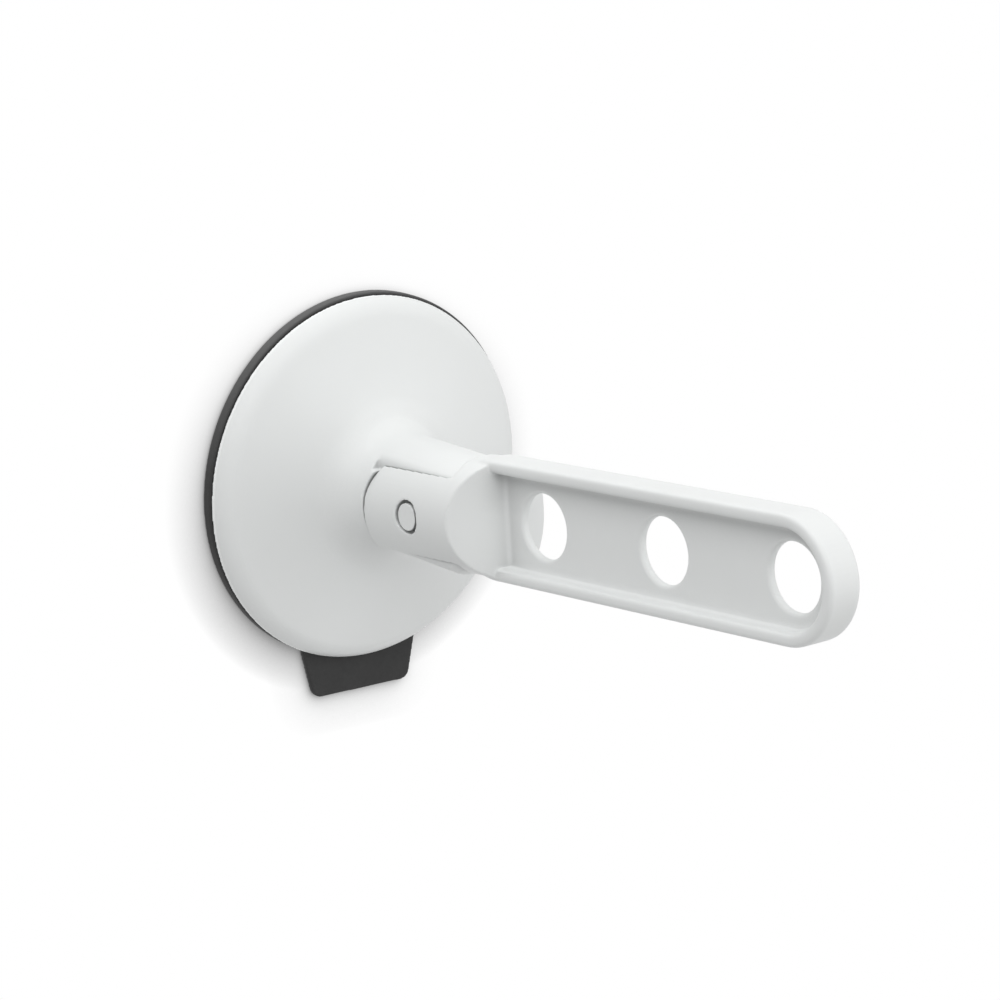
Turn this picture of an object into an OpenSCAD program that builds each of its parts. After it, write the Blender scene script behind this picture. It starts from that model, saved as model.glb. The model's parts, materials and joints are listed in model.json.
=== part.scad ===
// Suction wall arm: a round suction disc carries a hinged arm with holes for clothes hangers.
// The wall is the plane y = 0, the arm reaches towards -Y and +Z is up.

/* [Cover] */
// Radius of the white cover at its rim
cover_r = 55; // [50:0.5:62]
// Wall thickness of the moulded cover
cover_wall = 2.6; // [2:0.1:3.2]
// Radius of the rounded shoulder inside the rim
shoulder_r = 7; // [6:0.5:9]
// Lean of the rim's edge from square to the wall, in degrees
rim_lean = 10; // [4:1:16]
// Slope of the cover's face, in degrees
face_slope = 12; // [10:0.5:14]
// Radius of the flare from the face into the neck
flare_r = 11.6; // [9:0.2:11.6]
// Radius of the neck
neck_r = 17.3; // [16.6:0.1:17.6]

/* [Hinge] */
// Distance of the hinge pin from the wall
pin_h = 46; // [45:0.5:52]
// Radius of the tongue's round end about the pin
knuckle_r = 20.4; // [19.4:0.1:20.6]
// Radius of the ball about the pin that rounds the tongue's nose
nose_r = 22; // [21.4:0.1:22.4]
// Distance from the pin to the back end of the cheeks
tail_r = 20; // [19.4:0.1:21]
// Width of the fixed tongue between the arm's cheeks
tongue_w = 23; // [22:0.1:23.6]
// Rounding of the tongue's long edges
tongue_round = 3; // [2:0.2:3.4]
// Width of the hollow inside the tongue
tongue_bore_w = 17; // [16.6:0.1:17.6]
// Running gap between the hinge's moving faces
hinge_gap = 0.3; // [0.2:0.05:0.4]
// Diameter of the hinge pin
pin_d = 8; // [7:0.1:8.4]
// Depth of the flat on the hinge pin
pin_flat = 0.8; // [0.5:0.1:1.2]
// Wall of the hinge bushes
bush_wall = 1.4; // [1:0.1:1.8]
// Running clearance on shafts, per side
run_fit = 0.06; // [0.04:0.01:0.1]
// Seat clearance of fixed pieces, per side
seat_fit = 0.05; // [0.03:0.01:0.08]
// Distance from the wall to the back of the open notch above each cheek
notch_h = 26.4; // [26:0.1:29]
// Height above the pin at which the open notch starts
notch_z = 9.3; // [8:0.1:11]

/* [Arm] */
// Upward tilt of the arm as it stands locked, in degrees
arm_tilt = 5.2; // [2:0.1:7]
// Lift of the arm that frees the suction, in degrees
fold_angle = 60; // [45:1:62]
// Radius of the arm's round root
root_r = 17.2; // [16.8:0.1:17.4]
// Distance from the pin to the outer edge of the root's end face
root_len = 18.8; // [18:0.1:20]
// Further reach of the root's end face on the far side
far_reach = 1.9; // [0:0.1:2.2]
// Rounding of the cheeks' upper back corner
cheek_round = 3; // [1:0.2:4]
// Distance from the pin to the foot of the root's end face
root_foot = 27.3; // [25:0.1:29]
// Distance from the pin at which the root rounds off towards the tongue
crown_len = 16.5; // [15.5:0.1:19]
// Radius of that rounding
crown_r = 18.2; // [17.8:0.1:19]
// Distance from the pin to the first hanger hole
first_hole = 43.1; // [42:0.1:50]
// Spacing of the hanger holes
hole_pitch = 50; // [40:0.5:60]
// Number of hanger holes
hole_count = 3; // [2:1:5]
// Diameter of the hanger holes
hole_d = 18.8; // [15:0.5:22]
// Height of the paddle
paddle_height = 35; // [34:0.5:38]
// Distance from the pin to the centre of the paddle's inner round end
paddle_start = 24.3; // [22:0.1:25.4]
// Rise of the paddle's centre line above the pin
paddle_rise = 0; // [0:0.1:1]
// Width of the paddle's rim across the arm
rim_w = 11; // [9:0.5:13]
// Thickness of the paddle's rim
rim_t = 3.8; // [3:0.1:4.4]
// Thickness of the web between the rims
web_t = 2.8; // [2.4:0.1:4]
// Rounding of the rim's corners
rim_round = 1.4; // [0.8:0.1:1.4]
// Fillet between web and rim
web_fillet = 1.8; // [1:0.1:2.2]
// Rounding of the hanger holes' edges
hole_round = 0.8; // [0.3:0.1:0.9]

/* [Pin caps] */
// Diameter of the round recess over each pin end
recess_d = 9.8; // [9.4:0.1:10.6]
// Diameter of the caps
cap_d = 7.9; // [7:0.1:8.2]
// Depth of the caps below the cheek's surface
cap_depth = 0.5; // [0.3:0.1:0.8]
// Thickness of the caps
cap_t = 2.2; // [1.6:0.1:2.4]
// Diameter of the cap's spigot in the pin
spigot_d = 3; // [2.4:0.1:3.4]
// Length of the cap's spigot
spigot_len = 3; // [2:0.1:4]

/* [Suction pad] */
// Radius of the rubber pad
pad_r = 55.6; // [50.2:0.1:62.2]
// Thickness of the pad's rim
pad_rim_t = 3.8; // [3.4:0.1:4.6]
// Inner radius of the rim's flat sealing face
seal_r = 41; // [38:0.5:44]
// Thickness of the pad's membrane
membrane_t = 3.2; // [2.6:0.1:3.6]
// Radius of the pad's centre boss
boss_r = 14; // [13:0.1:15]
// Thickness of the pad's centre boss
boss_t = 4.6; // [4.4:0.1:5]
// Width of the release tab at the rim
tab_root_w = 41.9; // [36:0.1:46]
// Width of the release tab at its free edge
tab_end_w = 36.2; // [30:0.1:40]
// Distance of the tab's free edge from the disc's centre
tab_reach = 66.6; // [64:0.2:74]
// Thickness of the release tab
tab_t = 1.8; // [1.2:0.1:2.6]
// Rounding of the tab's corners
tab_round = 3.8; // [2:0.2:6]

/* [Lock] */
// Travel of the pad's centre between released and locked
lock_stroke = 4; // [3:0.1:4]
// Distance from the pin to the follower when locked
follower_high = 12; // [11.6:0.1:12.4]
// Diameter of the follower roller
roller_d = 4.4; // [4:0.1:4.8]
// Diameter of the follower pin
roller_pin_d = 2.4; // [2:0.1:2.6]
// Thickness of the lock cam
cam_t = 7; // [6:0.1:7.2]
// Gap between cam and roller
cam_gap = 0.12; // [0.08:0.02:0.2]
// Thickness of each yoke plate
yoke_t = 2.4; // [2:0.1:2.6]
// Height of the yoke plates
yoke_height = 14; // [13.4:0.1:15]
// Diameter of the draw stem
stem_d = 10; // [9:0.1:10.6]
// Diameter of the threaded stud
stud_d = 6; // [5:0.1:6.4]
// Radius of the disc moulded into the pad
core_r = 11; // [9:0.1:11.6]
// Thickness of that disc
core_t = 2; // [1.6:0.1:2.2]

/* [Return spring] */
// Mean radius of the spring
spring_r = 9.1; // [8.9:0.1:9.3]
// Diameter of the spring wire
wire_d = 1.2; // [1:0.1:1.3]
// Number of turns
spring_turns = 3.5; // [3:0.5:4]

/* [Back plate] */
// Thickness of the back plate
plate_t = 2.4; // [2:0.1:2.8]
// Radius of the raised middle of the back plate
plate_dish_r = 24; // [23:0.5:25]
// Number of back plate screws
screw_count = 3; // [3:1:6]
// Radius of the circle on which the screws stand
screw_circle_r = 19; // [18.6:0.1:19.6]
// Diameter of the screws
screw_d = 3; // [2.5:0.1:3.4]
// Diameter of the screw heads
screw_head_d = 5.6; // [5:0.1:6]
// Height of the screw heads
screw_head_t = 1.8; // [1.4:0.1:2]
// Diameter of the screw bosses in the cover
screw_boss_d = 7; // [6.4:0.1:7.4]

/* [Hidden] */
$fn = 96;
// Longer than any piece, for cuts that pass right through
through = 400;
// Small overlap that keeps joined solids in one piece
lap = 0.2;
white = [0.89, 0.90, 0.90];
rubber = [0.23, 0.23, 0.23];
steel = [0.72, 0.73, 0.75];
brass = [0.78, 0.66, 0.38];
grey = [0.62, 0.63, 0.64];

// Cover profile: the face is the line that touches the shoulder circle and the flare circle
face_normal = [sin(face_slope), cos(face_slope)];
shoulder_c = [cover_r - shoulder_r * cos(rim_lean), pad_rim_t - shoulder_r * sin(rim_lean)];
flare_run = (neck_r + flare_r - shoulder_c[0]) * face_normal[0];
neck_h = shoulder_c[1] + (flare_r + shoulder_r - flare_run) / face_normal[1];
flare_c = [neck_r + flare_r, neck_h];
// Screw bosses end inside the cover's wall, this far below its outer face
screw_top_margin = 1;
screw_boss_edge = flare_c[0] - screw_circle_r - screw_boss_d / 2;
screw_pilot_top = flare_c[1] - sqrt(flare_r * flare_r - screw_boss_edge * screw_boss_edge) - screw_top_margin;

// Hinge
pin_r = pin_d / 2;
cheek_x = tongue_w / 2 + hinge_gap;
slot_r = knuckle_r + hinge_gap;
pocket_r = tail_r + hinge_gap;
bush_r = pin_r + run_fit + bush_wall;
bush_flange_t = 1;
bush_flange_lip = 1.5;
bush_flange_r = bush_r + bush_flange_lip;
washer_t = 1.1;
washer_r = 8.8;
recess_r = recess_d / 2;
cap_face_x = root_r - cap_depth;
recess_floor_x = cap_face_x - cap_t;
pin_half = recess_floor_x - seat_fit;

// Pad and lock, measured from the wall with the arm locked
boss_foot = 2;
boss_front = lock_stroke + boss_t;
core_back = lock_stroke + (boss_t - core_t) / 2;
nut_gap = 0.4;
nut_back = boss_front + nut_gap;
nut_hex_t = 2.6;
nut_flange_t = 1;
nut_front = nut_back + nut_hex_t + nut_flange_t;
nut_hex_r = 5.8;
nut_flange_lip = 0.7;
nut_flange_r = spring_r + wire_d / 2 + nut_flange_lip;
plate_gap = 0.8;
plate_back = boss_front + plate_gap;
plate_front = plate_back + plate_t;
plate_hole_r = nut_flange_r + plate_gap;
plate_rim_inset = 4.7;
plate_rim_r = cover_r - plate_rim_inset;
plate_cover_gap = 0.15;
plate_flat_margin = 1;
plate_flat_r = seal_r + plate_flat_margin;
guide_back = 21;
guide_front = 24.5;
guide_r = 12.6;
guide_tube_gap = 4.2;
guide_tube_back = nut_front + guide_tube_gap;
stem_r = stem_d / 2;
stud_len = 10;
yoke_gap = 0.5;
yoke_in = cam_t / 2 + yoke_gap;
yoke_out = yoke_in + yoke_t;
yoke_back = 13;
yoke_base_h = pin_h - yoke_back;
yoke_base_t = 3.5;
yoke_slot_gap = 0.4;
yoke_slot_r = pin_r + yoke_slot_gap;
follower_h = pin_h + follower_high;
yoke_end_wall = 2.2;
yoke_end_r = roller_pin_d / 2 + yoke_end_wall;
roller_r = roller_d / 2;
cam_hub_r = follower_high - lock_stroke - roller_r - cam_gap;

// Spring
spring_seat_gap = 0.1;
spring_sides = 6;
spring_rings_per_turn = 8;
spring_back = nut_front + spring_seat_gap + wire_d / 2;
spring_front = guide_back - spring_seat_gap - wire_d / 2;
spring_rings = ceil(spring_turns * spring_rings_per_turn);
spring_rise = (spring_front - spring_back) / spring_rings;
guide_tube_r = (spring_r - wire_d / 2) * cos(180 / spring_rings_per_turn) - hinge_gap;

// Paddle
half_height = paddle_height / 2;
hole_r = hole_d / 2;
last_hole = first_hole + (hole_count - 1) * hole_pitch;

// Points of an arc from angle a to angle b
function arc(c, r, a, b, steps) =
    [for (i = [0 : steps]) c + r * [cos(a + (b - a) * i / steps), sin(a + (b - a) * i / steps)]];

// Turns local z into the distance from the wall
module from_wall() {
    rotate([90, 0, 0]) children();
}

// Turns local x into the direction away from the wall, y into up and z into -X
module side_view() {
    rotate([90, 0, -90]) children();
}

// The same view with the hinge pin at its origin
module at_pin() {
    translate([0, -pin_h, 0]) side_view() children();
}

// The arm's own frame: local x runs along the arm from the pin
module arm_frame() {
    translate([0, -pin_h, 0]) rotate([-arm_tilt, 0, 0]) side_view() children();
}

// Outer profile of the cover as radius and distance from the wall, drawn smaller by inset
module cover_profile(inset) {
    shoulder_end = shoulder_c + face_normal * (shoulder_r - inset);
    flare_end = flare_c - face_normal * (flare_r + inset);
    difference() {
        polygon([
            [0, pad_rim_t], [shoulder_c[0], pad_rim_t], shoulder_end,
            flare_end, flare_c, [neck_r - inset, neck_h], [0, neck_h]
        ]);
        translate(flare_c) circle(flare_r + inset);
    }
    intersection() {
        translate(shoulder_c) circle(shoulder_r - inset);
        translate([0, pad_rim_t]) square([cover_r, shoulder_r]);
    }
}

// Side outline of the neck's tongue, relative to the pin, with a round end of radius r
module tongue_outline(r) {
    circle(r);
    translate([-through, -through / 2]) square([through, through]);
}

// Side outline of the pocket for a cheek: round behind the pin, with a straight wall below
module pocket_outline() {
    circle(pocket_r);
    translate([0, -through / 2]) square([through, through]);
    translate([-pocket_r, -through]) square([through, through]);
    translate([notch_h - pin_h, notch_z]) square([pin_h, through]);
}

// Cross-section of the tongue: flat sides that round off into the neck
module tongue_section() {
    corner_x = tongue_w / 2 - tongue_round;
    corner_r = neck_r - tongue_round;
    corner_z = sqrt(corner_r * corner_r - corner_x * corner_x);
    square([2 * corner_x * neck_r / corner_r, through], center = true);
    square([tongue_w, 2 * corner_z], center = true);
    for (x = [-corner_x, corner_x]) {
        for (z = [-corner_z, corner_z]) {
            translate([x, z]) circle(tongue_round);
        }
    }
}

module cover_shell() {
    difference() {
        intersection() {
            from_wall() rotate_extrude() {
                cover_profile(0);
                translate([0, neck_h - lap]) square([neck_r, pin_h + knuckle_r - neck_h + lap]);
            }
            at_pin() linear_extrude(through, center = true) tongue_outline(knuckle_r);
            union() {
                at_pin() sphere(nose_r);
                translate([-through / 2, -pin_h, -through / 2]) cube(through);
            }
        }
        difference() {
            at_pin() linear_extrude(through, center = true) pocket_outline();
            from_wall() linear_extrude(through) tongue_section();
        }
        from_wall() rotate_extrude() {
            intersection() {
                cover_profile(cover_wall);
                square([cover_r, guide_back]);
            }
            translate([0, guide_back - lap]) square([guide_r + seat_fit, guide_front - guide_back + lap]);
        }
        tongue_hollow();
    }
}

// Flat-sided hollow in the neck that holds the cam and the yoke
module tongue_hollow() {
    intersection() {
        translate([0, -guide_front + lap, 0]) from_wall()
            cylinder(r = neck_r - cover_wall, h = through);
        cube([tongue_bore_w, through, through], center = true);
        at_pin() linear_extrude(through, center = true) tongue_outline(knuckle_r - cover_wall);
    }
}

module at_screws() {
    for (i = [0 : screw_count - 1]) {
        angle = 90 + 360 / screw_count * i;
        from_wall() rotate([0, 0, angle]) translate([screw_circle_r, 0, 0]) children();
    }
}

module cover() {
    color(white) difference() {
        union() {
            cover_shell();
            at_screws() translate([0, 0, plate_front])
                cylinder(d = screw_boss_d, h = screw_pilot_top - plate_front);
        }
        at_screws() translate([0, 0, plate_front - lap])
            cylinder(r = screw_d / 2 + seat_fit, h = screw_pilot_top - plate_front);
        at_pin() cylinder(r = bush_r + seat_fit, h = through, center = true);
    }
}

module back_plate() {
    color(grey) difference() {
        from_wall() rotate_extrude() intersection() {
            polygon([
                [plate_hole_r, plate_back], [plate_dish_r, plate_back], [plate_flat_r, pad_rim_t],
                [plate_rim_r, pad_rim_t], [plate_rim_r, pad_rim_t + plate_t],
                [plate_flat_r, pad_rim_t + plate_t], [plate_dish_r, plate_front],
                [plate_hole_r, plate_front]
            ]);
            cover_profile(cover_wall + plate_cover_gap);
        }
        at_screws() cylinder(r = screw_d / 2 + seat_fit, h = through);
    }
}

module plate_screws() {
    color(steel) at_screws() {
        translate([0, 0, plate_back - screw_head_t]) cylinder(d = screw_head_d, h = screw_head_t);
        translate([0, 0, plate_back - lap]) cylinder(d = screw_d, h = screw_pilot_top - plate_back - lap);
    }
}

// Flat outline of the release tab, hanging below the pad
module tab_outline() {
    lean = atan((tab_root_w - tab_end_w) / 2 / (tab_reach - pad_r));
    corner = [tab_end_w / 2 - tab_round * tan(45 - lean / 2), tab_round - tab_reach];
    right = arc(corner, tab_round, -90, -lean, 8);
    left = [for (i = [len(right) - 1 : -1 : 0]) [-right[i][0], right[i][1]]];
    polygon(concat(right, [[tab_root_w / 2, -pad_r], [tab_root_w / 2, -seal_r],
        [-tab_root_w / 2, -seal_r], [-tab_root_w / 2, -pad_r]], left));
}

module suction_pad() {
    color(rubber) difference() {
        union() {
            from_wall() rotate_extrude() polygon([
                [0, lock_stroke], [boss_r, lock_stroke], [seal_r, 0], [pad_r, 0],
                [pad_r, pad_rim_t], [plate_flat_r, pad_rim_t], [seal_r, membrane_t],
                [boss_r + boss_foot, lock_stroke + membrane_t], [boss_r, boss_front], [0, boss_front]
            ]);
            from_wall() linear_extrude(tab_t) difference() {
                tab_outline();
                circle(seal_r + lap);
            }
        }
        from_wall() translate([0, 0, core_back - seat_fit])
            cylinder(r = core_r + seat_fit, h = core_t + 2 * seat_fit);
        from_wall() translate([0, 0, core_back]) cylinder(r = stud_d / 2 + seat_fit, h = boss_t);
    }
}

module stem_guide() {
    color(grey) from_wall() difference() {
        union() {
            translate([0, 0, guide_back]) cylinder(r = guide_r, h = guide_front - guide_back);
            translate([0, 0, guide_tube_back]) cylinder(r = guide_tube_r, h = guide_front - guide_tube_back);
        }
        cylinder(r = stem_r + run_fit, h = through);
    }
}

function spring_point(ring, side) =
    let (
        turn = 360 * ring / spring_rings_per_turn,
        around = 360 * side / spring_sides,
        r = spring_r + wire_d / 2 * cos(around)
    )
    [r * cos(turn), r * sin(turn), spring_back + spring_rise * ring + wire_d / 2 * sin(around)];
spring_points = [
    for (ring = [0 : spring_rings]) for (side = [0 : spring_sides - 1]) spring_point(ring, side)
];
// Least distance between points of one ring and points of the rings a turn away
spring_self_gap = min([
    for (ring = [0 : spring_rings - spring_rings_per_turn])
    for (a = [0 : spring_sides - 1]) for (b = [0 : spring_sides - 1])
    norm(spring_point(ring, a) - spring_point(ring + spring_rings_per_turn, b))
]);

module return_spring() {
    echo(spring_self_gap = spring_self_gap);
    last = spring_rings * spring_sides;
    sides = [for (ring = [0 : spring_rings - 1]) for (side = [0 : spring_sides - 1])
        let (
            a = ring * spring_sides + side,
            b = ring * spring_sides + (side + 1) % spring_sides
        )
        each [[a, b, b + spring_sides], [a, b + spring_sides, a + spring_sides]]];
    back_cap = [for (side = [1 : spring_sides - 2]) [0, side + 1, side]];
    front_cap = [for (side = [1 : spring_sides - 2]) [last, last + side, last + side + 1]];
    color(steel) from_wall() polyhedron(spring_points, concat(sides, back_cap, front_cap));
}

// Flanged bush in one wall of the tongue
module hinge_bush(side) {
    inner = tongue_bore_w / 2;
    color(brass) rotate([0, side * 90, 0]) difference() {
        union() {
            translate([0, 0, inner]) cylinder(r = bush_r, h = tongue_w / 2 - inner);
            translate([0, 0, inner - bush_flange_t]) cylinder(r = bush_flange_r, h = bush_flange_t);
        }
        cylinder(r = pin_r + run_fit, h = through);
    }
}

module hinge_bush_near() {
    translate([0, -pin_h, 0]) hinge_bush(-1);
}

module hinge_bush_far() {
    translate([0, -pin_h, 0]) hinge_bush(1);
}

module core_insert() {
    color(steel) from_wall() {
        translate([0, 0, core_back]) cylinder(r = core_r, h = core_t);
        translate([0, 0, core_back + core_t - lap])
            cylinder(d = stud_d, h = nut_front + stud_len - core_back - core_t);
    }
}

module flange_nut() {
    color(steel) from_wall() difference() {
        union() {
            translate([0, 0, nut_back]) cylinder(r = nut_hex_r, h = nut_hex_t + lap, $fn = 6);
            translate([0, 0, nut_back + nut_hex_t]) cylinder(r = nut_flange_r, h = nut_flange_t);
        }
        cylinder(r = stud_d / 2 + seat_fit, h = through);
    }
}

// One yoke plate in side view, relative to the pin with the arm locked
module yoke_plate_outline() {
    difference() {
        union() {
            translate([yoke_base_h - pin_h, -yoke_height / 2])
                square([pin_h - yoke_base_h + lock_stroke + yoke_slot_r, yoke_height]);
            translate([0, -yoke_end_r]) square([follower_high, 2 * yoke_end_r]);
            translate([follower_high, 0]) circle(yoke_end_r);
        }
        circle(yoke_slot_r);
        translate([lock_stroke, 0]) circle(yoke_slot_r);
        translate([0, -yoke_slot_r]) square([lock_stroke, 2 * yoke_slot_r]);
        translate([follower_high, 0]) circle(roller_pin_d / 2 + seat_fit);
    }
}

module draw_stem() {
    color(steel) difference() {
        union() {
            from_wall() translate([0, 0, nut_front])
                cylinder(r = stem_r, h = yoke_base_h - nut_front + lap);
            translate([-yoke_out, -yoke_base_h - yoke_base_t, -yoke_height / 2])
                cube([2 * yoke_out, yoke_base_t, yoke_height]);
            for (side = [-1, 1]) {
                translate([side * (yoke_in + yoke_t / 2), 0, 0])
                    at_pin() linear_extrude(yoke_t, center = true) yoke_plate_outline();
            }
        }
        from_wall() cylinder(r = stud_d / 2 + seat_fit, h = nut_front + stud_len + lap);
    }
}

module follower_pin() {
    color(steel) translate([0, -follower_h, 0]) rotate([0, 90, 0])
        cylinder(d = roller_pin_d, h = 2 * yoke_out, center = true);
}

module follower_roller() {
    color(brass) translate([0, -follower_h, 0]) rotate([0, 90, 0]) difference() {
        cylinder(r = roller_r, h = 2 * (yoke_in - seat_fit), center = true);
        cylinder(r = roller_pin_d / 2 + run_fit, h = through, center = true);
    }
}

// Section of half the paddle: local x is the distance from the centre line, y the width
module paddle_half_section() {
    rim_in = half_height - rim_t;
    translate([0, -web_t / 2]) square([half_height - rim_round, web_t]);
    translate([rim_in + rim_round, -rim_w / 2]) square([rim_t - 2 * rim_round, rim_w]);
    translate([rim_in, rim_round - rim_w / 2]) square([rim_t, rim_w - 2 * rim_round]);
    for (side = [-1, 1]) {
        for (r = [rim_in + rim_round, half_height - rim_round]) {
            translate([r, side * (rim_w / 2 - rim_round)]) circle(rim_round);
        }
        difference() {
            translate([rim_in - web_fillet, side * (web_t + web_fillet) / 2 - web_fillet / 2])
                square([web_fillet + lap, web_fillet]);
            translate([rim_in - web_fillet, side * (web_t / 2 + web_fillet)]) circle(web_fillet);
        }
    }
}

module paddle() {
    translate([0, paddle_rise, 0]) {
        translate([paddle_start, 0, 0]) rotate([0, 90, 0]) rotate([0, 0, 90])
            linear_extrude(last_hole - paddle_start) {
                paddle_half_section();
                mirror([1, 0]) paddle_half_section();
            }
        translate([last_hole, 0, 0]) rotate([0, 0, -90]) rotate_extrude(angle = 180)
            paddle_half_section();
        translate([paddle_start, 0, 0]) rotate([0, 0, 90]) rotate_extrude(angle = 180)
            paddle_half_section();
    }
}

// Plan of one side of the root, whose end face slopes in to the web with a soft foot
module root_half_plan(reach) {
    web_half = web_t / 2;
    slope = atan((root_foot - root_len) / (root_r - web_half));
    foot_r = 1.8;
    edge_r = 1.2;
    turn = 90 - slope;
    foot_c = [root_foot + reach + foot_r * tan(turn / 2), web_half + foot_r];
    foot = arc(foot_c, foot_r, 180 + slope, 270, 6);
    edge_c = [root_len + reach - edge_r * tan(turn / 2), root_r - edge_r];
    edge = arc(edge_c, edge_r, 90, slope, 4);
    polygon(concat([[-through / 2, 0], [-through / 2, root_r]], edge, foot, [[foot_c[0], 0]]));
}

// Side outline of the root: the cheeks end round above and straight below, where they bear on the cover
module root_outline() {
    cheek_top = sqrt(root_r * root_r - cheek_x * cheek_x);
    corner_z = cheek_top - cheek_round + lap;
    corner_reach = tail_r - cheek_round + lap;
    corner = [-sqrt(corner_reach * corner_reach - corner_z * corner_z), corner_z];
    intersection() {
        union() {
            circle(tail_r);
            translate([0, -through / 2]) square([through, through]);
            rotate([0, 0, -arm_tilt]) translate([-tail_r, -through]) square([through, through]);
        }
        union() {
            translate(corner) circle(cheek_round);
            translate([corner[0], -through / 2]) square([through, through]);
            translate([-through / 2, corner[1] - through]) square([through, through]);
        }
    }
}

module root_bar() {
    crown_c = crown_len + sqrt(crown_r * crown_r - root_r * root_r);
    difference() {
        intersection() {
            translate([-through / 2, 0, 0]) rotate([0, 90, 0]) cylinder(r = root_r, h = through);
            rotate([90, 0, 0]) linear_extrude(through, center = true) {
                root_half_plan(0);
                mirror([0, 1]) root_half_plan(far_reach);
            }
            linear_extrude(through, center = true) root_outline();
        }
        difference() {
            translate([-through, -through / 2, -cheek_x])
                cube([through + crown_len + lap, through, 2 * cheek_x]);
            translate([crown_c, 0, 0]) sphere(crown_r);
        }
    }
}

// Round with one flat, as the keyed hinge pin and the bores that turn with it
module keyed_round(grow) {
    difference() {
        circle(pin_r + grow);
        translate([-pin_d, pin_r - pin_flat + grow]) square([2 * pin_d, pin_d]);
    }
}

module hanger_holes() {
    for (i = [0 : hole_count - 1]) {
        translate([first_hole + i * hole_pitch, paddle_rise, 0]) {
            cylinder(r = hole_r, h = through, center = true);
            for (side = [0, 1]) {
                mirror([0, 0, side]) rotate_extrude() translate([hole_r - lap, web_t / 2 - hole_round])
                    difference() {
                        square([hole_round + lap, hole_round + lap]);
                        translate([hole_round + lap, 0]) circle(hole_round);
                    }
            }
        }
    }
}

module hanger_arm() {
    color(white) arm_frame() difference() {
        union() {
            root_bar();
            paddle();
        }
        intersection() {
            cylinder(r = slot_r, h = 2 * cheek_x, center = true);
            sphere(nose_r + hinge_gap);
        }
        linear_extrude(through, center = true) keyed_round(seat_fit);
        cylinder(r = washer_r + seat_fit, h = 2 * (cheek_x + washer_t), center = true);
        for (side = [0, 1]) {
            mirror([0, 0, side]) translate([0, 0, recess_floor_x]) cylinder(r = recess_r, h = through);
        }
        hanger_holes();
    }
}

module hinge_pin() {
    color(steel) arm_frame() difference() {
        linear_extrude(2 * pin_half, center = true) keyed_round(0);
        for (side = [0, 1]) {
            mirror([0, 0, side]) translate([0, 0, pin_half - spigot_len - lap])
                cylinder(r = spigot_d / 2 + seat_fit, h = through);
        }
    }
}

// Radius of the follower's path round the cam at an angle below the arm
function cam_path(angle) = follower_high - lock_stroke * angle / fold_angle;

// Point of the cam's edge that touches the roller at that angle
function cam_edge(angle) =
    let (
        r = cam_path(angle),
        lean = atan(lock_stroke / (fold_angle * PI / 180) / r),
        reach = roller_r + cam_gap
    )
    r * [cos(angle), -sin(angle)] - reach * [cos(angle + lean), -sin(angle + lean)];

module lock_cam() {
    steps = 24;
    nose_angle = 34;
    start = cam_edge(0);
    end = cam_edge(fold_angle);
    nose = arc([0, 0], norm(start), nose_angle, atan2(start[1], start[0]), 6);
    edge = [for (i = [1 : steps]) cam_edge(fold_angle * i / steps)];
    hub = arc([0, 0], cam_hub_r, atan2(end[1], end[0]), nose_angle - 360, 2 * steps);
    color(steel) at_pin() difference() {
        linear_extrude(cam_t, center = true) polygon(concat(nose, edge, hub));
        rotate([0, 0, arm_tilt]) linear_extrude(through, center = true) keyed_round(seat_fit);
    }
}

module pin_cap(side) {
    color(white) arm_frame() mirror([0, 0, side]) {
        translate([0, 0, recess_floor_x]) cylinder(d = cap_d, h = cap_t);
        translate([0, 0, recess_floor_x - spigot_len]) cylinder(d = spigot_d, h = spigot_len + lap);
    }
}

module pin_cap_near() {
    pin_cap(0);
}

module pin_cap_far() {
    pin_cap(1);
}

module friction_washer(side) {
    color(grey) arm_frame() mirror([0, 0, side]) translate([0, 0, cheek_x + washer_t - seat_fit])
        mirror([0, 0, 1]) difference() {
            cylinder(r = washer_r, h = washer_t + hinge_gap / 2);
            linear_extrude(through, center = true) keyed_round(seat_fit);
        }
}

module friction_washer_near() {
    friction_washer(0);
}

module friction_washer_far() {
    friction_washer(1);
}

cover();
back_plate();
plate_screws();
suction_pad();
stem_guide();
return_spring();
hinge_bush_near();
hinge_bush_far();
core_insert();
flange_nut();
draw_stem();
follower_pin();
follower_roller();
hanger_arm();
hinge_pin();
lock_cam();
pin_cap_near();
pin_cap_far();
friction_washer_near();
friction_washer_far();
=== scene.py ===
"""Looks of the suction wall arm: finishes, soft edges, rubber pad, spring, light and camera.

Places are in metres in the CAD frame: the wall is the plane y = 0, the arm reaches towards -Y,
and +Z is up. Sizes written in millimetres are turned into metres by MM.
"""
import json
import math

import bpy
from mathutils import Matrix, Vector


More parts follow.
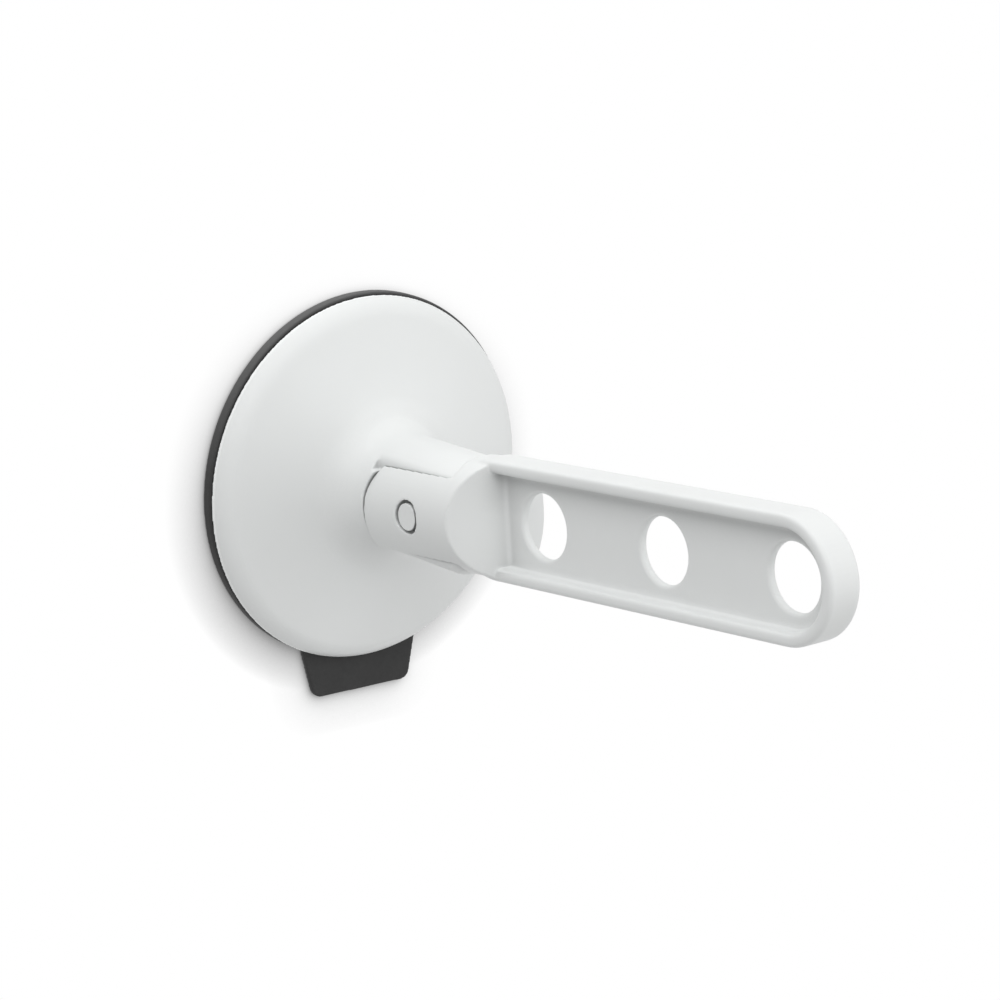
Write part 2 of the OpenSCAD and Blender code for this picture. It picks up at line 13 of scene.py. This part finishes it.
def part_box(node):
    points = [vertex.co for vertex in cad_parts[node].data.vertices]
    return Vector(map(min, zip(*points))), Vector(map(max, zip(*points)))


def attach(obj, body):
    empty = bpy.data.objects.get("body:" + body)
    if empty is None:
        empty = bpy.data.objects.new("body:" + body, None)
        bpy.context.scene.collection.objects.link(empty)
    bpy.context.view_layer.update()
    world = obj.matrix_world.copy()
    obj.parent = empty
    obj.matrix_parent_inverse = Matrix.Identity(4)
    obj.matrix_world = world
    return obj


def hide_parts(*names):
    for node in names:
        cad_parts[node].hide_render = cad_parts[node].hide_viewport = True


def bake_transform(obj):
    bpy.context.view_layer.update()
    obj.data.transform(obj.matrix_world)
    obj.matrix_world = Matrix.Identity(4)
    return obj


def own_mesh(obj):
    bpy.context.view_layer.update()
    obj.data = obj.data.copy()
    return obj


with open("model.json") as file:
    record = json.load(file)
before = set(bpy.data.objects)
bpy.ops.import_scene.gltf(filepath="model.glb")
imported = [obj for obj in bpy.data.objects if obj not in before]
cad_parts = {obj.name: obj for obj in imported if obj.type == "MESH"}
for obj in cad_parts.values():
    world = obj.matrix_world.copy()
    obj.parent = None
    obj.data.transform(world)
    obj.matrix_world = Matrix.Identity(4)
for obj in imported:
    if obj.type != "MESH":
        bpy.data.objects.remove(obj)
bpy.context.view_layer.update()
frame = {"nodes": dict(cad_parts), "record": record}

MM = 0.001
NODES = frame["nodes"]
COVER_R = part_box("cover")[1].x

# The pad's sizes in millimetres: radii from the disc's axis, heights from the wall
SEAL_R = 41.0
PAD_RIM_T = 3.8
PLATE_FLAT_R = 42.0
MEMBRANE_T = 3.2
MEMBRANE_LIFT = 0.05  # keeps the membrane's back off the faces of rim and boss
MEMBRANE_SINK = 0.1  # keeps its front below the rim's
RIM_LAP = 0.4  # how far the membrane runs into the rim
BOSS_LAP = 2.0  # and into the boss
BOSS_R = 14.0
BOSS_FOOT = 2.0
BOSS_T = 4.6
CORE_R = 11.05
CORE_T = 2.1
STUD_R = 3.05
LOCK_STROKE = 4.0
TAB_T = 1.8

# The photograph shows the pad higher than the cover's axis and a little smaller than its solid
PAD_RISE = 0.55
PAD_TRIM = 0.25

# The release tab's corners, in millimetres: x, z and rounding
TAB_CORNERS = (
    (19.8, -43.0, 0), (19.8, -51.0, 0), (16.7, -66.9, 3.0),
    (-18.3, -66.1, 3.8), (-22.3, -51.0, 0), (-22.3, -43.0, 0),
)

# The spring's sizes in millimetres
SPRING_R = 9.1
WIRE_R = 0.6
SPRING_TURNS = 3.5

# The white plastic's grey level, and how much less red it has
WHITE = 0.82
COOL = 0.018

# How far from a wall, in metres, a corner is painted darker as shade and a gap is painted dark as
# shade
CORNER_REACH = 0.012
GAP_REACH = 0.0012

# The painted highlight on the cover's edge fades in between these distances from its rim, in metres
RIM_HIGHLIGHT_START = 0.0004
RIM_HIGHLIGHT_END = 0.0002

# The object's soft shadow on the backdrop: reach in metres, depth, and where its light comes from
SHADOW_REACH = 0.013
SHADOW_DEPTH = 1.2
SHADOW_LIGHT = (0.15, -0.76, 0.63)

# CAD nodes with soft moulded edges: voxel in millimetres and smoothing passes
SOFT_EDGES = {
    "cover": (0.4, 6),
    "hanger_arm": (0.35, 8),
    "pin_cap_near": (0.12, 6),
    "pin_cap_far": (0.12, 6),
}

# CAD nodes with a material of their own in place of their slot's, which differs only in its painted
# light and shade
OWN_PAINTED_SHADING = {
    "cover": "white_plastic_cover",
    "hanger_arm": "white_plastic_arm",
    "pin_cap_near": "white_plastic_cap",
    "pin_cap_far": "white_plastic_cap",
}

# Lamps: name, direction from the object, and the level of their light on a facing surface
AMBIENT = 0.46
LAMPS = (
    ("key", (-0.39, -0.49, 0.66), 0.29),
    ("above_behind", (0, 0.5, 0.85), 0.285),
    ("above", (0, -0.25, 1), 0.12),
    ("above_left", (-0.8, -0.2, 0.7), 0.155),
    ("front", (0, -1, 0.5), 0.065),
    ("front_right", (0.8, -0.8, 0.15), 0.30),
    ("below", (0, -0.1, -1), 0.10),
)
LAMP_DISTANCE = 1.8
LAMP_SIZE = 1.6

# The camera, fitted to the photograph: place, turn about Z and tilt in radians, lens in millimetres
CAMERA_AT = (-0.55418, -0.75898, 0.25469)
CAMERA_TURN = 0.6758
CAMERA_TILT = 0.2727
CAMERA_LENS = 117.44
CAMERA_SENSOR = 36


# Node helpers for the materials

class Shader:
    """A new node material with one Principled shader and short calls to wire nodes into it."""

    def __init__(self, name):
        self.material = bpy.data.materials.new(name)
        self.material.use_nodes = True
        self.tree = self.material.node_tree
        self.bsdf = self.tree.nodes["Principled BSDF"]
        self.coords = self.add("ShaderNodeTexCoord").outputs["Object"]

    def add(self, kind, **settings):
        """A new node with these settings."""
        node = self.tree.nodes.new(kind)
        for key, value in settings.items():
            setattr(node, key, value)
        return node

    def link(self, source, target):
        self.tree.links.new(source, target)

    def set(self, **sockets):
        """Sets constants on the Principled shader's own sockets."""
        for name, value in sockets.items():
            self.bsdf.inputs[name.replace("_", " ")].default_value = value

    def noise(self, per_metre, detail=3.0, stretch=(1, 1, 1)):
        """Noise whose cells are 1 / per_metre metres wide, longer where stretch is below 1."""
        mapping = self.add("ShaderNodeMapping")
        mapping.inputs["Scale"].default_value = stretch
        self.link(self.coords, mapping.inputs["Vector"])
        noise = self.add("ShaderNodeTexNoise")
        noise.inputs["Scale"].default_value = per_metre
        noise.inputs["Detail"].default_value = detail
        self.link(mapping.outputs["Vector"], noise.inputs["Vector"])
        return noise.outputs["Fac"]

    def ramp(self, factor, low, high, ends=(0.35, 0.65)):
        """A colour from low to high as factor passes between ends."""
        ramp = self.add("ShaderNodeValToRGB")
        for element, at, colour in zip(ramp.color_ramp.elements, ends, (low, high)):
            element.position = at
            element.color = colour
        self.link(factor, ramp.inputs["Fac"])
        return ramp.outputs["Color"]

    def spread(self, factor, low, high):
        """A value from low to high as factor goes from 0 to 1."""
        spread = self.add("ShaderNodeMapRange")
        spread.inputs["To Min"].default_value = low
        spread.inputs["To Max"].default_value = high
        self.link(factor, spread.inputs["Value"])
        return spread.outputs["Result"]

    def blend(self, factor, first, second):
        """The first colour where factor is 0 and the second where it is 1."""
        mix = self.add("ShaderNodeMix", data_type="RGBA")
        self.link(factor, mix.inputs["Factor"])
        for value, socket in ((first, mix.inputs[6]), (second, mix.inputs[7])):
            if isinstance(value, tuple):
                socket.default_value = value
            else:
                self.link(value, socket)
        return mix.outputs[2]

    def open_to_air(self, reach, shut, free, lean=(0, 0, 0)):
        """0 where walls within reach metres close a place in and 1 where it is free.

        The look goes along the normal, bent towards lean. Shut and free are the shares of open air
        at which the value is 0 and 1.
        """
        turned = self.add("ShaderNodeVectorMath", operation="ADD")
        outward = self.add("ShaderNodeVectorMath", operation="NORMALIZE")
        air = self.add("ShaderNodeAmbientOcclusion", samples=8)
        turned.inputs[1].default_value = lean
        air.inputs["Distance"].default_value = reach
        self.link(self.add("ShaderNodeNewGeometry").outputs["Normal"], turned.inputs[0])
        self.link(turned.outputs["Vector"], outward.inputs[0])
        self.link(outward.outputs["Vector"], air.inputs["Normal"])
        return self.ramp(air.outputs["AO"], (0, 0, 0, 1), (1, 1, 1, 1), (shut, free))

    def out_of_gaps(self):
        """0 in narrow gaps and 1 elsewhere."""
        return self.open_to_air(GAP_REACH, 0.3, 0.8)

    def facing_up(self, start, end):
        """1 on faces that look up and 0 on upright or hanging ones."""
        split = self.add("ShaderNodeSeparateXYZ")
        self.link(self.add("ShaderNodeNewGeometry").outputs["Normal"], split.inputs["Vector"])
        return self.ramp(split.outputs["Z"], (0, 0, 0, 1), (1, 1, 1, 1), (start, end))

    def from_axis(self, start, end):
        """1 further than end metres from the disc's axis and 0 nearer than start."""
        across = self.add("ShaderNodeVectorMath", operation="MULTIPLY")
        length = self.add("ShaderNodeVectorMath", operation="LENGTH")
        span = self.add("ShaderNodeMapRange")
        across.inputs[1].default_value = (1, 0, 1)
        span.inputs["From Min"].default_value = start
        span.inputs["From Max"].default_value = end
        self.link(self.coords, across.inputs[0])
        self.link(across.outputs["Vector"], length.inputs[0])
        self.link(length.outputs["Value"], span.inputs["Value"])
        return span.outputs["Result"]

    def either(self, first, second):
        """The larger of two values."""
        larger = self.add("ShaderNodeMath", operation="MAXIMUM")
        self.link(first, larger.inputs[0])
        self.link(second, larger.inputs[1])
        return larger.outputs["Value"]

    def bump(self, height, depth):
        """Lets height, from 0 to 1, stand out by depth metres."""
        bump = self.add("ShaderNodeBump")
        bump.inputs["Distance"].default_value = depth
        self.link(height, bump.inputs["Height"])
        self.link(bump.outputs["Normal"], self.bsdf.inputs["Normal"])

    def wire(self, name, source):
        """Feeds one of the Principled shader's sockets."""
        self.link(source, self.bsdf.inputs[name])


def grey(level, cool=0.0):
    """An opaque near-grey colour, with a little less red where cool is above 0."""
    return (level * (1 - cool), level, level * (1 - cool / 3), 1)


def moulded_plastic(name, level, cool, lean=(0, 0, 0.3), gap=0.5, lip=None):
    """Satin moulded plastic: fine eroded grain, faint flow clouds, and painted shade in corners and
    gaps.

    Corners are painted darker as shade where they are closed towards lean, the side the light
    comes from, but not on faces that look up; narrow gaps are painted down to gap of the level as
    shade.
    A disc that ends lip metres from its axis has a painted highlight along that edge.
    """
    # The second colour is painted shade for corners and the third a painted highlight for the
    # disc's edge
    cloud, corner_shade, rim_highlight = level * 0.985, level * 0.58, 0.98
    s = Shader(name)
    skin = s.ramp(s.noise(38, 4), grey(cloud, cool), grey(level, cool))
    # Painted highlight along the disc's edge
    if lip:
        edge = s.from_axis(lip - RIM_HIGHLIGHT_START, lip - RIM_HIGHLIGHT_END)
        skin = s.blend(edge, skin, grey(rim_highlight, cool))
    # Painted shade: corners closed towards lean darken, except on faces that look up
    unshaded = s.either(s.open_to_air(CORNER_REACH, 0.45, 0.9, lean), s.facing_up(0.3, 0.7))
    with_painted_shading = s.blend(unshaded, grey(corner_shade, cool), skin)
    # Painted shade: narrow gaps darken to gap of the level
    s.wire("Base Color", s.blend(s.out_of_gaps(), grey(level * gap, cool), with_painted_shading))
    s.wire("Roughness", s.spread(s.noise(900, 2), 0.40, 0.50))
    s.bump(s.noise(5200, 2), 0.000004)
    s.set(IOR=1.46, Specular_IOR_Level=0.45)
    return s.material


def rubber(name):
    """Matte dark rubber with a fine dull grain, painted light on faces that look up, and painted
    shade in narrow gaps.
    """
    # A painted light colour for faces that look up and a painted shade colour for narrow gaps
    top_light, gap = grey(0.10), grey(0.006)
    s = Shader(name)
    body = s.ramp(s.noise(60, 5), grey(0.027), grey(0.034))
    with_painted_shading = s.blend(s.facing_up(0.1, 0.9), body, top_light)
    s.wire("Base Color", s.blend(s.out_of_gaps(), gap, with_painted_shading))
    s.wire("Roughness", s.spread(s.noise(700, 3), 0.62, 0.80))
    s.bump(s.noise(3600, 3), 0.000012)
    s.set(Specular_IOR_Level=0.32)
    return s.material


def plated_steel(name):
    """Zinc plated steel with fine drawn lines along the stem's axis."""
    s = Shader(name)
    s.wire("Base Color", s.ramp(s.noise(90, 5), grey(0.52), grey(0.60)))
    lines = s.noise(2600, 4, stretch=(1, 0.04, 1))
    s.wire("Roughness", s.spread(lines, 0.28, 0.46))
    s.bump(lines, 0.000006)
    s.set(Metallic=1.0)
    return s.material


def bearing_bronze(name):
    """Sintered bronze: warm, dull and faintly speckled."""
    s = Shader(name)
    speckle = s.noise(1800, 4)
    s.wire("Base Color", s.ramp(speckle, (0.40, 0.25, 0.11, 1), (0.55, 0.37, 0.17, 1)))
    s.wire("Roughness", s.spread(speckle, 0.34, 0.55))
    s.bump(speckle, 0.000008)
    s.set(Metallic=1.0)
    return s.material


MATERIALS = {
    "white_plastic": moulded_plastic("white_plastic_moulded", WHITE, COOL),
    # The cover's material adds a painted highlight along its edge
    "white_plastic_cover": moulded_plastic("white_plastic_cover", WHITE, COOL, lip=COVER_R),
    "white_plastic_arm": moulded_plastic("white_plastic_arm", WHITE, COOL, lean=(0.15, 0.2, 0.3)),
    # Painted shade: the caps' narrow gaps, in the ring round them, go almost black
    "white_plastic_cap": moulded_plastic("white_plastic_cap", WHITE, COOL, gap=0.05),
    "grey_plastic": moulded_plastic("grey_plastic_moulded", level=0.34, cool=0.0),
    "dark_rubber": rubber("dark_rubber_matte"),
    "steel": plated_steel("steel_plated"),
    "bearing_bronze": bearing_bronze("bearing_bronze_sintered"),
}


# Mesh helpers

def rounded(corners, steps=6):
    """Points of a closed outline whose corners (x, y, radius) are rounded off."""
    points = []
    for i, (x, y, radius) in enumerate(corners):
        here = Vector((x, y))
        before = Vector(corners[i - 1][:2]) - here
        after = Vector(corners[(i + 1) % len(corners)][:2]) - here
        if radius == 0:
            points.append(here)
            continue
        half = before.angle(after) / 2
        cut = radius / math.tan(half)
        inward = (before.normalized() + after.normalized()).normalized()
        centre = here + inward * (radius / math.sin(half))
        spoke = here + before.normalized() * cut - centre
        sweep = spoke.angle_signed(here + after.normalized() * cut - centre)
        for k in range(steps + 1):
            points.append(centre + Matrix.Rotation(-sweep * k / steps, 2) @ spoke)
    return points


def add_piece(name, vertices, faces, material):
    """A smooth-shaded object from vertices in metres."""
    mesh = bpy.data.meshes.new(name)
    mesh.from_pydata(vertices, [], faces)
    mesh.validate()
    mesh.shade_smooth()
    piece = bpy.data.objects.new(name, mesh)
    bpy.context.scene.collection.objects.link(piece)
    mesh.materials.append(MATERIALS[material])
    return piece


def lathe(profile, segments=192, rise=0):
    """Vertices and faces of a closed profile of (radius, height from the wall), in millimetres.

    It is turned about the disc's axis, or about a line that lies higher by rise.
    """
    vertices, faces, rings = [], [], []
    for r, h in profile:
        count = 1 if r < 1e-6 else segments
        first = len(vertices)
        rings.append([first + k % count for k in range(segments)])
        for k in range(count):
            turn = 2 * math.pi * k / segments
            vertices.append((r * math.cos(turn) * MM, -h * MM, (rise + r * math.sin(turn)) * MM))
    for i, ring in enumerate(rings):
        following = rings[(i + 1) % len(rings)]
        for k in range(segments):
            n = (k + 1) % segments
            corners = dict.fromkeys((ring[k], following[k], following[n], ring[n]))
            if len(corners) > 2:
                faces.append(tuple(corners))
    return vertices, faces


def slab(outline, low, high):
    """Vertices and faces of a flat outline of (x, z) between two heights, in millimetres."""
    count = len(outline)
    vertices = [(p[0] * MM, -h * MM, p[1] * MM) for h in (low, high) for p in outline]
    sides = [(i, (i + 1) % count, count + (i + 1) % count, count + i) for i in range(count)]
    return vertices, [tuple(reversed(range(count))), tuple(range(count, 2 * count)), *sides]


def joined(first, second):
    """Two sets of vertices and faces as one."""
    shift = len(first[0])
    moved = [tuple(i + shift for i in face) for face in second[1]]
    return first[0] + second[0], first[1] + moved


def soften(piece, voxel, passes):
    """Fuses a piece into one skin and rounds its edges by about a voxel, given in millimetres."""
    weld = piece.modifiers.new("weld", "WELD")
    weld.merge_threshold = 0.01 * MM
    skin = piece.modifiers.new("skin", "REMESH")
    skin.mode = "VOXEL"
    skin.voxel_size = voxel * MM
    skin.use_smooth_shade = True
    ease = piece.modifiers.new("ease", "SMOOTH")
    ease.factor = 0.5
    ease.iterations = passes


# CAD nodes that stay: finishes by the record's slots, and soft moulded edges where they show

for subpart in frame["record"]["subparts"]:
    node = NODES[subpart["node"]]
    finish = OWN_PAINTED_SHADING.get(subpart["node"], subpart["material_slot"])
    node.data.materials.clear()
    node.data.materials.append(MATERIALS[finish])

for name, (voxel, passes) in SOFT_EDGES.items():
    soften(NODES[name], voxel, passes)


# The rubber pad: a rim with its release tab, a membrane, and a boss on the stem

def pad_piece(name, vertices, faces, body):
    """One piece of the pad, which rides on a body."""
    piece = add_piece(name, vertices, faces, "dark_rubber")
    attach(piece, body)
    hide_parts("suction_pad")
    return piece


# Each profile below is a list of corners: radius, height from the wall, rounding
rim_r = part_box("suction_pad")[1].z / MM - PAD_TRIM
rim_profile = rounded([
    (SEAL_R, 0, 0.3), (rim_r, 0, 0.7), (rim_r, PAD_RIM_T, 0.6),
    (PLATE_FLAT_R, PAD_RIM_T, 0.2), (SEAL_R, MEMBRANE_T, 0.2),
])
ring = lathe(rim_profile, segments=256, rise=PAD_RISE)
tab = slab(rounded(TAB_CORNERS), low=0, high=TAB_T)
pad_rim = pad_piece("pad_rim", *joined(ring, tab), "housing")
soften(pad_rim, voxel=0.4, passes=4)

centre_back = LOCK_STROKE + MEMBRANE_LIFT
centre_front = LOCK_STROKE + MEMBRANE_T
edge_front = MEMBRANE_T - MEMBRANE_SINK
membrane_profile = rounded([
    (BOSS_R - BOSS_LAP, centre_back, 0), (BOSS_R, centre_back, 4),
    (SEAL_R, MEMBRANE_LIFT, 0), (SEAL_R + RIM_LAP, MEMBRANE_LIFT, 0),
    (SEAL_R + RIM_LAP, edge_front, 0), (SEAL_R, edge_front, 0),
    (BOSS_R + BOSS_FOOT, centre_front, 3), (BOSS_R - BOSS_LAP, centre_front, 0),
], steps=8)
membrane = pad_piece("pad_membrane", *lathe(membrane_profile, rise=PAD_RISE), "housing")
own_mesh(membrane)

boss_top = LOCK_STROKE + BOSS_T
core_low = LOCK_STROKE + (BOSS_T - CORE_T) / 2
core_top = core_low + CORE_T
boss_profile = rounded([
    (0, LOCK_STROKE, 0), (BOSS_R, LOCK_STROKE, 0.6), (BOSS_R, boss_top, 0.8),
    (STUD_R, boss_top, 0), (STUD_R, core_top, 0), (CORE_R, core_top, 0),
    (CORE_R, core_low, 0), (0, core_low, 0),
])
pad_piece("pad_boss", *lathe(boss_profile), "stem")


# The return spring: round wire between the guide and the nut

def spring_mesh(back, front, sides=12, rings_per_turn=48):
    """Vertices and faces of the wire, wound from back to front, in millimetres from the wall."""
    rings = int(SPRING_TURNS * rings_per_turn)
    vertices, faces = [], []
    for i in range(rings + 1):
        share = i / rings
        turn = 2 * math.pi * SPRING_TURNS * share
        rise = back + (front - back) * share
        for k in range(sides):
            around = 2 * math.pi * k / sides
            r = SPRING_R + WIRE_R * math.cos(around)
            h = rise + WIRE_R * math.sin(around)
            vertices.append((r * math.cos(turn) * MM, -h * MM, r * math.sin(turn) * MM))
    for i in range(rings):
        for k in range(sides):
            a, b = i * sides + k, i * sides + (k + 1) % sides
            faces.append((a, b, b + sides, a + sides))
    last = rings * sides
    return vertices, faces + [tuple(reversed(range(sides))), tuple(range(last, last + sides))]


spring_low, spring_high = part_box("return_spring")
wire_mesh = spring_mesh(-spring_high.y / MM + WIRE_R, -spring_low.y / MM - WIRE_R)
spring = add_piece("spring_wire", *wire_mesh, "steel")
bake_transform(spring)
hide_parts("return_spring")


# Backdrop: a white wall behind the object and a floor well below it, with a soft contact shadow

def backdrop_material():
    """White that darkens close to the object as a painted soft shadow, and clear from behind so
    that it hides nothing.
    """
    material = bpy.data.materials.new("backdrop_white")
    material.use_nodes = True
    tree = material.node_tree
    tree.nodes.clear()
    output = tree.nodes.new("ShaderNodeOutputMaterial")
    mix = tree.nodes.new("ShaderNodeMixShader")
    geometry = tree.nodes.new("ShaderNodeNewGeometry")
    clear = tree.nodes.new("ShaderNodeBsdfTransparent")
    light = tree.nodes.new("ShaderNodeEmission")
    lit_from = tree.nodes.new("ShaderNodeCombineXYZ")
    near = tree.nodes.new("ShaderNodeAmbientOcclusion")
    depth = tree.nodes.new("ShaderNodeGamma")
    near.samples = 16
    near.inputs["Distance"].default_value = SHADOW_REACH
    depth.inputs["Gamma"].default_value = SHADOW_DEPTH
    for axis, value in zip("XYZ", SHADOW_LIGHT):
        lit_from.inputs[axis].default_value = value
    links = tree.links
    links.new(lit_from.outputs["Vector"], near.inputs["Normal"])
    links.new(near.outputs["Color"], depth.inputs["Color"])
    links.new(depth.outputs["Color"], light.inputs["Color"])
    links.new(geometry.outputs["Backfacing"], mix.inputs["Fac"])
    links.new(light.outputs["Emission"], mix.inputs[1])
    links.new(clear.outputs["BSDF"], mix.inputs[2])
    links.new(mix.outputs["Shader"], output.inputs["Surface"])
    return material


def backdrop():
    """One sheet: wall, rounded corner, floor."""
    half_width = 2.0
    wall_top = 1.6
    wall_y = 0.0003
    floor_z = -0.5
    floor_depth = 2.2
    corner_r = 0.3
    corner_steps = 12
    line = [(wall_y, wall_top)]
    for k in range(corner_steps + 1):
        turn = math.radians(90 * k / corner_steps)
        y = wall_y - corner_r * (1 - math.cos(turn))
        z = floor_z + corner_r * (1 - math.sin(turn))
        line.append((y, z))
    line.append((-floor_depth, floor_z))
    vertices = [(side * half_width, y, z) for y, z in line for side in (-1, 1)]
    faces = [(2 * i, 2 * i + 2, 2 * i + 3, 2 * i + 1) for i in range(len(line) - 1)]
    mesh = bpy.data.meshes.new("backdrop")
    mesh.from_pydata(vertices, [], faces)
    mesh.materials.append(backdrop_material())
    sheet = bpy.data.objects.new("backdrop", mesh)
    bpy.context.scene.collection.objects.link(sheet)
    sheet.visible_diffuse = False
    sheet.visible_glossy = False
    sheet.visible_transmission = False
    sheet.visible_shadow = False


backdrop()


# Light: an even white surround and large soft lamps, most of them above

def surround(ambient):
    """White where the camera and reflections look, and ambient for the light on the object."""
    world = bpy.data.worlds.new("surround")
    world.use_nodes = True
    tree = world.node_tree
    path = tree.nodes.new("ShaderNodeLightPath")
    first = tree.nodes.new("ShaderNodeMath")
    second = tree.nodes.new("ShaderNodeMath")
    level = tree.nodes.new("ShaderNodeMapRange")
    first.operation = second.operation = "MAXIMUM"
    tree.links.new(path.outputs["Is Camera Ray"], first.inputs[0])
    tree.links.new(path.outputs["Is Glossy Ray"], first.inputs[1])
    tree.links.new(first.outputs["Value"], second.inputs[0])
    tree.links.new(path.outputs["Is Transmission Ray"], second.inputs[1])
    tree.links.new(second.outputs["Value"], level.inputs["Value"])
    level.inputs["To Min"].default_value = ambient
    level.inputs["To Max"].default_value = 1.0
    background = tree.nodes["Background"]
    background.inputs["Color"].default_value = (1, 1, 1, 1)
    tree.links.new(level.outputs["Result"], background.inputs["Strength"])
    bpy.context.scene.world = world


def lamp(name, direction, level):
    """A large square lamp in a direction from the object."""
    data = bpy.data.lights.new(name, "AREA")
    data.size = LAMP_SIZE
    data.energy = level * math.pi * math.pi * LAMP_DISTANCE * LAMP_DISTANCE
    lamp_object = bpy.data.objects.new(name, data)
    out = Vector(direction).normalized()
    lamp_object.location = out * LAMP_DISTANCE
    lamp_object.rotation_mode = "QUATERNION"
    lamp_object.rotation_quaternion = out.to_track_quat("Z", "Y")
    bpy.context.scene.collection.objects.link(lamp_object)


surround(AMBIENT)
for lamp_settings in LAMPS:
    lamp(*lamp_settings)


# Camera: where the photograph was taken from

def camera():
    """Looks down and to the right at the disc from its left."""
    data = bpy.data.cameras.new("camera")
    data.sensor_width = CAMERA_SENSOR
    data.lens = CAMERA_LENS
    eye = bpy.data.objects.new("camera", data)
    sine, cosine = math.sin(CAMERA_TURN), math.cos(CAMERA_TURN)
    level = math.cos(CAMERA_TILT)
    right = Vector((cosine, -sine, 0))
    back = Vector((-sine * level, -cosine * level, math.sin(CAMERA_TILT)))
    up = back.cross(right)
    axes = Matrix((right, up, back)).transposed().to_4x4()
    eye.matrix_world = Matrix.Translation(CAMERA_AT) @ axes
    bpy.context.scene.collection.objects.link(eye)
    bpy.context.scene.camera = eye


camera()
bpy.context.scene.view_settings.view_transform = "Standard"
